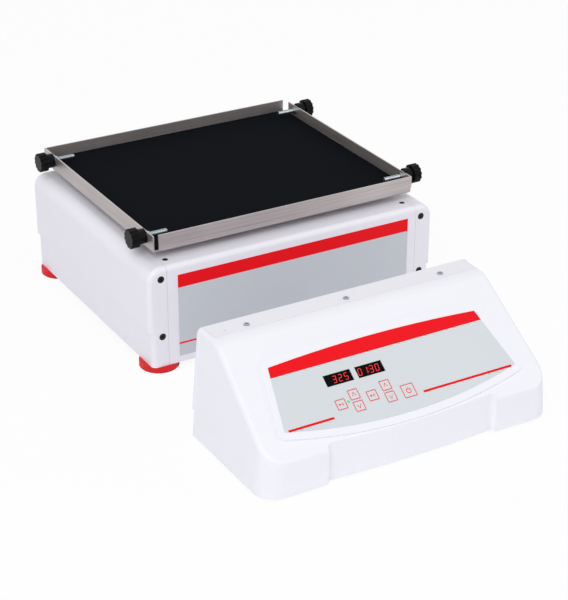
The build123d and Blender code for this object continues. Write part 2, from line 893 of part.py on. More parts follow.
# Tray: one folded sheet, each upturned flange stopping short of a corner
with BuildPart() as tray:
    with BuildSketch(Plane.XY.offset(tray_floor_height)):
        with Locations((0, tray_y)):
            Rectangle(tray_width, tray_depth)
    extrude(amount=tray_flange_height)
    fillet(tray.edges().group_by(Axis.Z)[0], tray_bend_radius)
    with BuildPart(mode=Mode.PRIVATE) as hollow:
        with BuildSketch(Plane.XY.offset(tray_floor_top)):
            with Locations((0, tray_y)):
                Rectangle(tray_width - 2 * tray_sheet, tray_depth - 2 * tray_sheet)
        extrude(amount=tray_flange_height)
        fillet(hollow.edges().group_by(Axis.Z)[0], tray_bend_radius - tray_sheet)
    add(hollow.part, mode=Mode.SUBTRACT)
    front = tray_y - tray_half_depth
    back = tray_y + tray_half_depth
    inner_left = tray_sheet - tray_half_width
    for low_x, high_x, low_y, high_y in (
        (inner_left, front_flange_gap - tray_half_width, front, front + tray_sheet),
        (tray_half_width - back_flange_gap, tray_half_width, back - right_flange_gap, back),
        (inner_left, back_flange_left_gap - tray_half_width, back - tray_sheet, back),
    ):
        with BuildSketch(Plane.XY.offset(tray_floor_top)):
            with Locations(((low_x + high_x) / 2, (low_y + high_y) / 2)):
                Rectangle(high_x - low_x, high_y - low_y)
        extrude(amount=tray_flange_height, mode=Mode.SUBTRACT)
    with BuildSketch(face_plane(0, front, 0, -1)):
        with BuildLine():
            Polyline(
                (tray_half_width, tray_floor_height),
                (tray_half_width, tray_floor_height + corner_relief_height),
                (tray_half_width - corner_relief_width, tray_floor_height),
                close=True,
            )
        make_face()
    extrude(amount=-tray_sheet, mode=Mode.SUBTRACT)
    for side in (-1, 1):
        for y in clamp_places:
            with Locations(Plane(origin=(side * tray_half_width, y, stud_z), z_dir=(side, 0, 0))):
                Hole(insert_radius + hole_clearance, depth=2 * tray_sheet)
    with Locations(*[(x, y, tray_floor_top) for x, y in tray_screw_places]):
        CounterSinkHole(
            radius=tray_screw_radius + hole_clearance,
            counter_sink_radius=tray_screw_head_radius,
            depth=tray_sheet,
        )
save(tray.part, "tray")

with BuildPart() as mat:
    with BuildSketch(Plane.XY.offset(tray_floor_top)):
        with Locations((0, tray_y)):
            RectangleRounded(
                tray_width - 2 * tray_sheet - 2 * mat_gap,
                tray_depth - 2 * tray_sheet - 2 * mat_gap,
                mat_corner_radius,
            )
    extrude(amount=mat_thickness)
    chamfer(mat.edges().group_by(Axis.Z)[0], mat_edge_chamfer)
save(mat.part, "mat")

with BuildPart() as tray_screws:
    with Locations(*[(x, y, tray_floor_top) for x, y in tray_screw_places]):
        add(
            countersunk_screw(
                tray_screw_head_radius - hole_clearance,
                tray_screw_radius,
                tray_sheet + tray_screw_bite,
                tray_screw_socket_radius,
            )
        )
save(tray_screws.part, "tray_screws")


# Thumbscrews run along X: plane origins stand on the flange's outer face and point outwards
with BuildPart() as thumbscrew_inserts:
    for side in (-1, 1):
        for y in clamp_places:
            outer = Plane(origin=(side * tray_half_width, y, stud_z), z_dir=(side, 0, 0))
            with BuildSketch(outer):
                Circle(insert_flange_radius)
            extrude(amount=insert_flange)
            with BuildSketch(outer):
                Circle(insert_radius)
            extrude(amount=-tray_sheet - insert_inside)
            with BuildSketch(outer.offset(insert_flange)):
                Circle(stud_radius + running_clearance)
            extrude(amount=-insert_flange - tray_sheet - insert_inside, mode=Mode.SUBTRACT)
save(thumbscrew_inserts.part, "thumbscrew_inserts")


def thumbscrew_stud(outer):
    with BuildPart() as stud:
        with BuildSketch(outer.offset(-tray_sheet - stud_reach)):
            Circle(stud_radius)
        extrude(amount=tray_sheet + stud_reach + insert_flange + knob_bore_depth)
        chamfer(stud.faces().sort_by(Axis(outer.origin, outer.z_dir))[0].edges(), stud_radius / 4)
    return stud.part


def thumbscrew_knob(outer):
    hub_face = outer.offset(insert_flange + seat_gap)
    with BuildPart() as knob:
        with BuildSketch(hub_face):
            Circle(knob_hub_radius)
        extrude(amount=knob_hub)
        with BuildSketch(hub_face.offset(knob_hub)):
            Circle(knob_radius)
            with PolarLocations(knob_radius + knob_flute_radius / 3, knob_flutes):
                Circle(knob_flute_radius, mode=Mode.SUBTRACT)
        extrude(amount=knob_head)
        rim = knob.faces().sort_by(Axis(outer.origin, outer.z_dir))[-1].edges()
        chamfer(rim, knob_edge_chamfer)
        with BuildSketch(hub_face):
            Circle(stud_radius + running_clearance)
        extrude(amount=knob_bore_depth, mode=Mode.SUBTRACT)
    return knob.part


for side, side_name in ((-1, "left"), (1, "right")):
    for y, end_name in zip(clamp_places, ("front", "back")):
        outer = Plane(origin=(side * tray_half_width, y, stud_z), x_dir=(0, 1, 0), z_dir=(side, 0, 0))
        save(thumbscrew_stud(outer), f"{end_name}_{side_name}_stud")
        save(thumbscrew_knob(outer), f"{end_name}_{side_name}_knob")


# A nine-way connector: mounting plate, shell, body behind the panel and two jack posts
def lead_socket(face):
    with BuildPart() as socket:
        with BuildSketch(face):
            RectangleRounded(socket_width, socket_tall, socket_corner_radius)
        extrude(amount=socket_plate)
        with BuildSketch(face) as shell:
            Trapezoid(socket_shell_width, socket_shell_tall, socket_shell_angle, rotation=180)
            fillet(shell.vertices(), socket_corner_radius)
        extrude(amount=socket_shell_depth)
        with BuildSketch(face):
            Rectangle(socket_body_width, socket_body_tall)
        extrude(amount=-socket_body_depth)
        with BuildSketch(face):
            with Locations((-socket_post_x, 0), (socket_post_x, 0)):
                RegularPolygon(socket_post_radius, 6)
        extrude(amount=socket_post_length)
    return socket.part


save(lead_socket(face_plane(shaker_socket_x, half_depth, socket_height, 1)), "shaker_lead_socket")


# The controller's half width at a height: its sides lean in towards the top
def console_half(level):
    rise = (level - console_bottom) / console_height
    return console_bottom_half + (console_top_half - console_bottom_half) * rise


# The controller's outline at one level, narrowed all round by inset
def console_section(level, inset, rear):
    half = console_half(level) - inset
    front_y = console_rear_y - console_depth + inset
    with BuildSketch(Plane.XY.offset(level)) as section:
        with BuildLine():
            walls = FilletPolyline(
                (console_x - half, rear),
                (console_x - half, front_y),
                (console_x + half, front_y),
                (console_x + half, rear),
                radius=console_corner_radius - inset,
            )
            Line(walls @ 1, walls @ 0)
        make_face()
    return section.sketch


# The space in front of the shallow curved recess between the controller's two front pods
def console_recess(inset):
    front_y = console_rear_y - console_depth + inset
    side_y = console_rear_y - recess_side_depth + inset
    pod_x = pod_inner_x + inset
    flare = pod_inner_radius - inset
    with BuildPart() as recess:
        with BuildSketch():
            with BuildLine():
                for side in (-1, 1):
                    x = console_x + side * pod_x
                    Line((x, side_y), (x, front_y + flare))
                    RadiusArc((x, front_y + flare), (x + side * flare, front_y), side * flare)
                    Line((x + side * flare, front_y), (x + side * flare, front_y - console_depth))
                Line(
                    (console_x - pod_x - flare, front_y - console_depth),
                    (console_x + pod_x + flare, front_y - console_depth),
                )
                ThreePointArc(
                    (console_x - pod_x, side_y),
                    (console_x, console_rear_y - recess_middle_depth + inset),
                    (console_x + pod_x, side_y),
                )
            make_face()
        extrude(amount=2 * console_height)
    return recess.part


# The controller's solid form: leaning walls under a flat roof and a long slope with round rims
def console_form(inset, rear):
    slope = panel.offset(-plateau_rise - inset)
    down = Vector(0, -cos(radians(panel_angle)), -sin(radians(panel_angle)))
    roof_z = console_top - inset
    knee = slope.origin + down * ((slope.origin.Z - roof_z) / sin(radians(panel_angle)))
    toe = slope.origin + down * (2 * console_depth)
    behind = rear + console_depth
    with BuildPart() as form:
        add(console_section(console_bottom, inset, rear))
        add(console_section(console_top, inset, rear))
        loft(ruled=True)
        with BuildSketch(Plane.YZ):
            with BuildLine():
                roof = FilletPolyline(
                    (behind, roof_z), (knee.Y, roof_z), (toe.Y, toe.Z), radius=roof_bend_radius - inset
                )
                Polyline(roof @ 1, (toe.Y, 2 * console_top), (behind, 2 * console_top), roof @ 0)
            make_face()
        extrude(amount=2 * console_bottom_half, both=True, mode=Mode.SUBTRACT)
        roof_edges = form.faces().filter_by(lambda face: face.normal_at().Z > 0.5).edges()
        rim = [edge for edge in roof_edges if roof_edges.count(edge) == 1]
        fillet([edge for edge in rim if edge.center().Y < rear - console_wall], roof_edge_radius - inset)
        add(console_recess(inset), mode=Mode.SUBTRACT)
    return form.part


# The film's outline on a plane parallel to the panel, widened all round by margin
def console_film_outline(plane, margin):
    top = (console_film_top_half, 0)
    side = (console_film_bottom_half, -console_film_side)
    with BuildSketch(plane) as outline:
        with BuildLine():
            Line((-top[0], top[1]), (-side[0], side[1]))
            ThreePointArc((-side[0], side[1]), (0, side[1] - console_film_bottom_bulge), side)
            Line(side, top)
            ThreePointArc(top, (0, console_film_top_bulge), (-top[0], top[1]))
        make_face()
        if margin:
            offset(amount=margin)
    return outline.sketch


# Keys by name: where each stands on the panel and the width of its cap
keys = {
    "speed_toggle_key": (speed_toggle_x, toggle_slope, key_size),
    "speed_up_key": (speed_arrow_x, arrow_up_slope, key_size),
    "speed_down_key": (speed_arrow_x, arrow_down_slope, key_size),
    "time_toggle_key": (time_toggle_x, toggle_slope, key_size),
    "time_up_key": (time_arrow_x, arrow_up_slope, key_size),
    "time_down_key": (time_arrow_x, arrow_down_slope, key_size),
    "power_key": (power_key_x, power_key_slope, power_key_size),
}
display_places = [(speed_display_x, -display_slope), (time_display_x, -display_slope)]
board_posts = [
    (x, -slope)
    for x in (board_left + board_post_inset, board_right - board_post_inset)
    for slope in (board_top_slope + board_post_inset, board_bottom_slope - board_post_inset)
]
console_bosses = [
    (console_x + side * console_boss_x, console_rear_y - depth)
    for side in (-1, 1)
    for depth in (console_boss_back, console_boss_front)
]
strip_screws = [
    (console_x + side * strip_screw_pitch, console_rear_y - strip_screw_depth) for side in (-1, 0, 1)
]


# Windows in the film and the shell: a pocket round each key, openings for displays and lamp
def key_windows(plane):
    with BuildSketch(plane) as windows:
        for x, slope, size in keys.values():
            with Locations((x, -slope)):
                RectangleRounded(size + 2 * key_gap, size + 2 * key_gap, key_corner_radius)
    return windows.sketch


def light_windows(plane):
    with BuildSketch(plane) as windows:
        with Locations(*display_places):
            Rectangle(display_width + 2 * key_gap, display_height + 2 * key_gap)
        with Locations((lamp_x, -lamp_slope)):
            Circle(lamp_radius + key_gap)
    return windows.sketch


# The room inside the shell, less the bosses for the screws and the posts for the board
with BuildPart() as console_room:
    add(console_form(console_wall, console_rear_y))
    with BuildSketch(Plane.XY.offset(console_bottom + console_sheet)):
        with Locations(*console_bosses):
            Circle(console_boss_radius)
    extrude(amount=console_height, mode=Mode.SUBTRACT)
    with BuildSketch(Plane.XY.offset(console_top - console_wall - strip_boss_height)):
        with Locations(*strip_screws):
            Circle(strip_boss_radius)
    extrude(amount=console_height, mode=Mode.SUBTRACT)
    with BuildSketch(panel.offset(-board_depth)):
        with Locations(*board_posts):
            Circle(board_post_radius)
    extrude(amount=board_depth, mode=Mode.SUBTRACT)

with BuildPart() as console_shell:
    add(console_form(0, console_rear_y - console_sheet))
    plateau = console_film_outline(panel.offset(-plateau_rise - console_wall / 2), plateau_margin)
    extrude(plateau, amount=plateau_rise + console_wall / 2)
    add(console_room.part, mode=Mode.SUBTRACT)
    with BuildSketch(Plane.XY.offset(console_top - console_sheet)):
        with Locations((console_x, console_rear_y - strip_depth / 2)):
            Rectangle(2 * strip_half + 2 * seat_gap, strip_depth + 2 * seat_gap)
    extrude(amount=console_height, mode=Mode.SUBTRACT)
    extrude(key_windows(panel), amount=-pocket_depth, mode=Mode.SUBTRACT)
    extrude(light_windows(panel), amount=-board_depth, mode=Mode.SUBTRACT)
    for x, slope, size in keys.values():
        with BuildSketch(panel):
            with Locations((x, -slope)):
                Circle(key_stem_radius + 2 * key_gap)
        extrude(amount=-board_depth, mode=Mode.SUBTRACT)
    with Locations(*[(x, y, console_bottom + console_sheet) for x, y in console_bosses]):
        Cylinder(
            console_screw_radius,
            console_screw_length,
            align=(Align.CENTER, Align.CENTER, Align.MIN),
            mode=Mode.SUBTRACT,
        )
    with Locations(*[(x, y, console_top) for x, y in strip_screws]):
        Hole(console_screw_radius, depth=console_screw_length + console_sheet)
save(console_shell.part, "console_shell")


# Rear panel: one sheet folded forwards at the top into the strip, with the connector openings
mains_face = face_plane(console_x + inlet_x, console_rear_y, inlet_height, 1)
console_socket_face = face_plane(console_x + console_socket_x, console_rear_y, socket_height, 1)
with BuildPart() as console_rear_panel:
    step_z = console_bottom + rear_step_height
    with BuildSketch(face_plane(console_x, console_rear_y, 0, 1)) as outline:
        with BuildLine():
            Polyline(
                (rear_tuck - console_half(console_bottom), console_bottom),
                (rear_tuck - console_half(step_z), step_z),
                (-rear_overhang - console_half(step_z), step_z),
                (-rear_overhang - console_half(console_top), console_top),
                (rear_overhang + console_half(console_top), console_top),
                (rear_overhang + console_half(step_z), step_z),
                (console_half(step_z) - rear_tuck, step_z),
                (console_half(console_bottom) - rear_tuck, console_bottom),
                close=True,
            )
        make_face()
        fillet(outline.vertices().group_by(Axis.Y)[-1], roof_edge_radius)
    extrude(amount=-console_sheet)
    with BuildSketch(Plane.XY.offset(console_top - console_sheet)):
        with Locations((console_x, console_rear_y - strip_depth / 2)):
            Rectangle(2 * strip_half, strip_depth)
    extrude(amount=console_sheet)
    with BuildSketch(mains_face):
        Rectangle(inlet_width + 2 * hole_clearance, inlet_tall + 2 * hole_clearance)
    extrude(amount=-2 * console_sheet, mode=Mode.SUBTRACT)
    with BuildSketch(console_socket_face):
        Rectangle(socket_body_width + 2 * hole_clearance, socket_body_tall + 2 * hole_clearance)
    extrude(amount=-2 * console_sheet, mode=Mode.SUBTRACT)
    with Locations(*[(x, y, console_top) for x, y in strip_screws]):
        Hole(console_screw_radius + hole_clearance, depth=2 * console_sheet)
    with Locations((console_x + strip_hole_x, console_rear_y - strip_screw_depth, console_top)):
        Hole(strip_hole_radius, depth=2 * console_sheet)
save(console_rear_panel.part, "console_rear_panel")

with BuildPart() as console_base:
    base_inset = console_wall + seat_gap
    add(console_section(console_bottom, base_inset, console_rear_y - console_sheet - seat_gap))
    extrude(amount=console_sheet)
    add(console_recess(base_inset), mode=Mode.SUBTRACT)
    with Locations(*[(x, y, console_bottom + console_sheet) for x, y in console_bosses]):
        Hole(console_screw_radius + hole_clearance, depth=2 * console_sheet)
save(console_base.part, "console_base")

with BuildPart() as console_screws:
    with Locations(*[(x, y, console_top) for x, y in strip_screws]):
        add(
            headed_screw(
                console_screw_head_radius,
                console_screw_head_height,
                console_screw_radius,
                console_screw_length,
                console_screw_socket_radius,
            )
        )
    with Locations(*[Plane(origin=(x, y, console_bottom), z_dir=(0, 0, -1)) for x, y in console_bosses]):
        add(
            headed_screw(
                console_screw_head_radius,
                console_screw_head_height,
                console_screw_radius,
                console_screw_length,
                console_screw_socket_radius,
            )
        )
save(console_screws.part, "console_screws")

with BuildPart() as console_feet:
    with BuildSketch():
        for side in (-1, 1):
            for depth in (console_foot_back, console_foot_front):
                with Locations((console_x + side * console_foot_x, console_rear_y - depth)):
                    Circle(console_foot_radius)
    extrude(amount=console_foot_height)
save(console_feet.part, "console_feet")

with BuildPart() as console_film:
    extrude(console_film_outline(panel, 0), amount=film_thickness)
    extrude(key_windows(panel), amount=film_thickness, mode=Mode.SUBTRACT)
    extrude(light_windows(panel), amount=film_thickness, mode=Mode.SUBTRACT)
save(console_film.part, "console_film")

with BuildPart() as display_modules:
    with BuildSketch(panel.offset(-board_depth)):
        with Locations(*display_places):
            Rectangle(display_width, display_height)
    extrude(amount=board_depth - display_recess)
save(display_modules.part, "display_modules")

with BuildPart() as status_lamp:
    with BuildSketch(panel.offset(-board_depth)):
        with Locations((lamp_x, -lamp_slope)):
            Circle(lamp_radius)
    extrude(amount=board_depth + lamp_height)
    fillet(status_lamp.edges().sort_by(Axis.Z)[-1], lamp_radius / 2)
save(status_lamp.part, "status_lamp")

# Control board: it hangs from the shell's posts and carries a switch under each key
with BuildPart() as control_board:
    with BuildSketch(panel.offset(-board_depth)):
        with Locations(((board_left + board_right) / 2, -(board_top_slope + board_bottom_slope) / 2)):
            Rectangle(board_right - board_left, board_bottom_slope - board_top_slope)
    extrude(amount=-board_thickness)
    with BuildSketch(panel.offset(-board_depth)):
        for x, slope, size in keys.values():
            with Locations((x, -slope)):
                Rectangle(switch_size, switch_size)
    extrude(amount=switch_height)
save(control_board.part, "control_board")


# A key: a square cap flush with the film and a stem down to its switch
def key(x, slope, size):
    with BuildPart() as cap:
        with BuildSketch(panel.offset(film_thickness)):
            with Locations((x, -slope)):
                RectangleRounded(size, size, key_corner_radius)
        extrude(amount=-key_thickness)
        with BuildSketch(panel):
            with Locations((x, -slope)):
                Circle(key_stem_radius)
        extrude(amount=switch_height + switch_gap - board_depth)
    return cap.part


for name, (x, slope, size) in keys.items():
    save(key(x, slope, size), name)


# Power supply: a board on four feet with its transformer, capacitor and heat sink
with BuildPart() as power_supply:
    supply_middle = (console_x + supply_x, console_rear_y - supply_from_rear)
    supply_inner_depth = supply_depth - 2 * supply_foot_inset
    with BuildSketch(Plane.XY.offset(console_bottom + console_sheet)):
        with Locations(supply_middle):
            with GridLocations(supply_width - 2 * supply_foot_inset, supply_inner_depth, 2, 2):
                Circle(supply_foot_radius)
    extrude(amount=supply_foot)
    board_top = console_bottom + console_sheet + supply_foot + board_thickness
    with BuildSketch(Plane.XY.offset(board_top - board_thickness)):
        with Locations(supply_middle):
            Rectangle(supply_width, supply_depth)
    extrude(amount=board_thickness)
    with BuildSketch(Plane.XY.offset(board_top)):
        with Locations(supply_middle):
            Rectangle(transformer_width, transformer_depth)
    extrude(amount=transformer_height)
    with BuildSketch(Plane.XY.offset(board_top)):
        with Locations((supply_middle[0] - supply_part_pitch, supply_middle[1])):
            Circle(capacitor_radius)
    extrude(amount=capacitor_height)
    with BuildSketch(Plane.XY.offset(board_top)):
        with Locations((supply_middle[0] + supply_part_pitch, supply_middle[1])):
            Rectangle(heat_sink_width, supply_inner_depth)
    extrude(amount=heat_sink_height)
save(power_supply.part, "power_supply")

# Mains inlet: bezel and body round a deep cavity with three flat pins
with BuildPart() as mains_inlet:
    with BuildSketch(mains_face):
        RectangleRounded(inlet_width + 2 * inlet_bezel, inlet_tall + 2 * inlet_bezel, inlet_corner_radius)
    extrude(amount=inlet_bezel_thickness)
    with BuildSketch(mains_face):
        Rectangle(inlet_width, inlet_tall)
    extrude(amount=-inlet_body_depth)
    with BuildSketch(mains_face.offset(inlet_bezel_thickness)) as mouth:
        Rectangle(inlet_cavity_width, inlet_cavity_tall)
        chamfer(mouth.vertices().group_by(Axis.Y)[-1], inlet_corner_radius)
    extrude(amount=-inlet_cavity_depth, mode=Mode.SUBTRACT)
    with BuildSketch(mains_face.offset(inlet_bezel_thickness - inlet_cavity_depth)):
        with Locations((-inlet_pin_x, -inlet_pin_z), (0, inlet_pin_z), (inlet_pin_x, -inlet_pin_z)):
            Rectangle(inlet_pin_width, inlet_pin_tall)
    extrude(amount=inlet_cavity_depth - inlet_pin_depth)
save(mains_inlet.part, "mains_inlet")

save(lead_socket(console_socket_face), "console_lead_socket")
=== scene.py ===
import json
from math import cos, pi, radians, sin, tan

import bpy
from mathutils import Matrix, Vector

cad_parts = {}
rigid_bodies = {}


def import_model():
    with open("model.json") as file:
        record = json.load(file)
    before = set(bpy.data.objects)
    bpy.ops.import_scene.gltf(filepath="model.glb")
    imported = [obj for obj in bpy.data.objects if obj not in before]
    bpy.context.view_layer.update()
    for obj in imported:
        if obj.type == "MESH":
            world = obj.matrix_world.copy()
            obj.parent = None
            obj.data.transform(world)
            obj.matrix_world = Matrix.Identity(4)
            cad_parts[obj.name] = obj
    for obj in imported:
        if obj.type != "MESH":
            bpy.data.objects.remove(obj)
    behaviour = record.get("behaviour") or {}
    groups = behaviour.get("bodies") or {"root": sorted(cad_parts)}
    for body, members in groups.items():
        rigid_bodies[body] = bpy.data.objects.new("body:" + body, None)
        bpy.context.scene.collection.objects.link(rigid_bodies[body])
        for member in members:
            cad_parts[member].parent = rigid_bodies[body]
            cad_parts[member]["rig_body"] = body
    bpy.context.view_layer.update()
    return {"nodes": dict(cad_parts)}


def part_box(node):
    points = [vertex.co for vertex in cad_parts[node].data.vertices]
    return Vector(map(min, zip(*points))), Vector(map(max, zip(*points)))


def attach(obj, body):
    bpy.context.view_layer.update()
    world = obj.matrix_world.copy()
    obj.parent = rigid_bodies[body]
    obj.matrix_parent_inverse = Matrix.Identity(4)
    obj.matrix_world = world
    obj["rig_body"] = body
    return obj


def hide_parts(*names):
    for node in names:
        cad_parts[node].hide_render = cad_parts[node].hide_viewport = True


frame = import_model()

# The finish of an orbital shaker and its free-standing controller. Metres, in the part's own frame.

# Camera
camera_place = (-0.9348, -1.7454, 0.9806)
camera_turn = radians(-30.08)
camera_pitch = radians(26.85)
camera_roll = radians(0.1)
camera_lens = 108.46

# The controller's sloping panel: places on it are measured across and down from this point
panel_origin = Vector((-0.0287, -0.3664, 0.1021))
panel_tilt = radians(35)
panel_matrix = Matrix.Translation(panel_origin) @ Matrix.Rotation(panel_tilt, 4, "X")

# Prints on the two panel films
console_band_down = 0.012
console_line_down = (0.0700, 0.0726)
console_line_spans = ((-0.136, -0.083), (0.024, 0.135))
shaker_band_bottom = 0.1004
shaker_line_heights = (0.0306, 0.0328)

# Key graphics
key_corner = 0.0012
key_line_in = 0.00025
key_line_width = 0.0008
arrow_top = 0.0024
arrow_half_width = 0.0021
arrow_slope = 2.0
arrow_line = 0.00075
power_ring = 0.0026
power_line = 0.00045
power_gap = 0.001
power_bar_bottom = 0.0006
power_bar_rise = 0.0012
toggle_reach = 0.0026
toggle_rise = 0.0016
toggle_bars = ((0.0007, 0.0013), (0.0019, 0.0025))

# Display digits, built from seven bars each
digit_cell = 0.00185
digit_bar = 0.0003
digit_gap = 0.0002
digit_relief = 0.0001
digit_pitch = 0.0069
digit_slant = radians(8)
digit_seat = -0.0002
colon_height = 0.3
digit_bars = {
    "0": "abcdef",
    "1": "bc",
    "2": "abged",
    "3": "abgcd",
    "5": "afgcd",
}
# Each bar's place in cells across and up from the digit's middle, and whether it stands upright
bar_places = {
    "a": (0, 2, False),
    "b": (1, 1, True),
    "c": (1, -1, True),
    "d": (0, -2, False),
    "e": (-1, -1, True),
    "f": (-1, 1, True),
    "g": (0, 0, False),
}
speed_digits_middle = -0.0561
time_digits_middle = -0.0224
display_up = -0.0313

# Thumbscrew threads
thread_pitch = 0.001
thread_root = 0.88
thread_sides = 24


def srgb(red, green, blue):
    def linear(level):
        share = level / 255
        return share / 12.92 if share <= 0.04045 else ((share + 0.055) / 1.055) ** 2.4

    return (linear(red), linear(green), linear(blue), 1.0)


def tinted(colour, share):
    return tuple(min(1.0, level * share) for level in colour[:3]) + (1.0,)


class Value:
    """A socket of a finish's node tree: an expression on it adds Math nodes."""

    def __init__(self, finish, socket):
        self.finish = finish
        self.socket = socket

    def math(self, operation, *others):
        return self.finish.node("ShaderNodeMath", {"operation": operation}, dict(enumerate((self, *others))))

    def __add__(self, other):
        return self.math("ADD", other)

    def __mul__(self, other):
        return self.math("MULTIPLY", other)

    def __sub__(self, other):
        return self.math("SUBTRACT", other)

    def __rsub__(self, other):
        return self.finish.node("ShaderNodeMath", {"operation": "SUBTRACT"}, {0: other, 1: self})

    def __gt__(self, other):
        return self.math("GREATER_THAN", other)

    def __lt__(self, other):
        return self.math("LESS_THAN", other)

    def __abs__(self):
        return self.math("ABSOLUTE")

    def over(self, floor):
        return self.math("MAXIMUM", floor)

    def within(self, low, high):
        return (self > low) * (self < high)

    __radd__ = __add__
    __rmul__ = __mul__


class Finish:
    """One procedural material and its node tree."""

    def __init__(self, name):
        self.material = bpy.data.materials.new(name)
        self.material.use_nodes = True
        self.tree = self.material.node_tree
        self.shader = self.tree.nodes["Principled BSDF"]
        self.place = self.node("ShaderNodeTexCoord", output="Object")

    def node(self, kind, settings=None, values=None, output=0):
        made = self.tree.nodes.new(kind)
        for setting, value in (settings or {}).items():
            setattr(made, setting, value)
        self.feed(made, values or {})
        return Value(self, made.outputs[output])

    def feed(self, made, values):
        for socket, value in values.items():
            if isinstance(value, Value):
                self.tree.links.new(value.socket, made.inputs[socket])
            else:
                made.inputs[socket].default_value = value

    def set(self, values):
        self.feed(self.shader, values)

    def axes(self):
        split = self.node("ShaderNodeSeparateXYZ", values={0: self.place})
        outputs = split.socket.node.outputs
        return [Value(self, outputs[axis]) for axis in "XYZ"]

    def noise(self, scale, detail=2.0, stretch=(1, 1, 1)):
        place = self.node("ShaderNodeMapping", values={"Vector": self.place, "Scale": stretch})
        return self.node("ShaderNodeTexNoise", values={"Vector": place, "Scale": scale, "Detail": detail})

    def mix(self, factor, first, second):
        return self.node("ShaderNodeMix", {"data_type": "RGBA"}, {0: factor, 6: first, 7: second}, output=2)

    def bump(self, height, strength, distance):
        values = {"Strength": strength, "Distance": distance, "Height": height}
        self.set({"Normal": self.node("ShaderNodeBump", values=values)})


# A skin with a slight cloudiness in colour and gloss and a fine grain in relief
def skin(name, colour, roughness, metallic=0.0, grain=900.0, relief=0.00003, cloud=0.03, specular=0.5):
    finish = Finish(name)
    clouds = finish.noise(28.0, detail=3.0)
    finish.set(
        {
            "Base Color": finish.mix(clouds, tinted(colour, 1 - cloud), tinted(colour, 1 + cloud)),
            "Roughness": roughness + 0.12 * (clouds - 0.5),
            "Metallic": metallic,
            "Specular IOR Level": specular,
        }
    )
    finish.bump(finish.noise(grain), 0.5, relief)
    return finish


# Sheet stainless steel, brushed along X on the floor and the long flanges and along Y on the others
def brushed_steel():
    finish = Finish("brushed_steel")
    normal = finish.node("ShaderNodeNewGeometry", output="Normal")
    across = finish.node("ShaderNodeSeparateXYZ", values={0: normal})
    on_side = abs(across) > 0.7
    along_x = finish.noise(1.0, detail=4.0, stretch=(9, 1500, 1500))
    along_y = finish.noise(1.0, detail=4.0, stretch=(1500, 9, 1500))
    strokes = along_x + on_side * (along_y - along_x)
    clouds = finish.noise(14.0, detail=2.0)
    tone = (strokes - 0.5) * 0.9 + (clouds - 0.5) * 0.3 + 0.5
    finish.set(
        {
            "Base Color": finish.mix(tone, srgb(156, 148, 147), srgb(226, 218, 216)),
            "Roughness": 0.3 + 0.2 * strokes,
            "Metallic": 0.85,
        }
    )
    finish.bump(strokes, 0.25, 0.00005)
    return finish


# Moulded rubber sheet with a fine leathery grain
def mat_rubber():
    finish = Finish("mat_rubber")
    cells = finish.node("ShaderNodeTexVoronoi", values={"Vector": finish.place, "Scale": 700.0})
    dust = finish.noise(60.0, detail=5.0)
    finish.set(
        {
            "Base Color": finish.mix(dust, srgb(8, 11, 15), srgb(19, 22, 27)),
            "Roughness": 0.7 + 0.2 * dust,
            "Specular IOR Level": 0.02,
        }
    )
    finish.bump(cells, 0.5, 0.0001)
    return finish


film_grey = srgb(217, 222, 226)
shaker_film_grey = srgb(203, 208, 214)
print_red = srgb(242, 18, 30)


# Printed polycarbonate film: plain grey with red where the mask is one
def film(name, grey, mask_of):
    finish = Finish(name)
    fine = finish.noise(1400.0)
    clouds = finish.noise(9.0)
    ground = finish.mix(clouds, tinted(grey, 0.97), tinted(grey, 1.03))
    finish.set(
        {
            "Base Color": finish.mix(mask_of(finish), ground, print_red),
            "Roughness": 0.38 + 0.1 * fine,
            "Specular IOR Level": 0.1,
        }
    )
    finish.bump(fine, 0.3, 0.00002)
    return finish


# Distances across and down the sloping panel from a place on it
def panel_axes(finish, across, down):
    x, y, z = finish.axes()
    return (
        x - (panel_origin.x + across),
        (panel_origin.y - y) * cos(panel_tilt) + (panel_origin.z - z) * sin(panel_tilt) - down,
    )


def console_print(finish):
    across, down = panel_axes(finish, 0, 0)
    left, right = (across.within(*span) for span in console_line_spans)
    return (down < console_band_down) + down.within(*console_line_down) * (left + right)


def shaker_print(finish):
    height = finish.axes()[2]
    return (height > shaker_band_bottom) + height.within(*shaker_line_heights)


# A key's middle on the panel and half its width
def key_place(node):
    lie = panel_matrix.inverted()
    caps = [lie @ vertex.co for vertex in frame["nodes"][node].data.vertices]
    low, high = min(cap.x for cap in caps), max(cap.x for cap in caps)
    bottom, top = min(cap.y for cap in caps), max(cap.y for cap in caps)
    return (low + high) / 2, -(bottom + top) / 2, (high - low) / 2


# An open arrowhead that points up the panel, or down it where the direction is -1
def arrow(across, up, direction):
    rise = direction * up
    line = abs(rise - arrow_top + arrow_slope * abs(across)) < arrow_line
    return line * (abs(across) < arrow_half_width)


# A triangle that points left to right, beside two bars
def toggle(across, up):
    triangle = across.within(-toggle_reach, 0) * (abs(up) < across * (-toggle_rise / toggle_reach))
    first, second = (across.within(*span) for span in toggle_bars)
    return triangle + (first + second) * (abs(up) < toggle_rise)


# An open ring with a bar in its gap
def power(across, up):
    radius = (across * across + up * up).math("SQRT")
    ring = radius.within(power_ring - power_line, power_ring + power_line)
    gap = (up > 0) * (abs(across) < power_gap)
    bar = (abs(across) < power_line) * up.within(power_bar_bottom, power_ring + power_bar_rise)
    return ring * (1 - gap) + bar


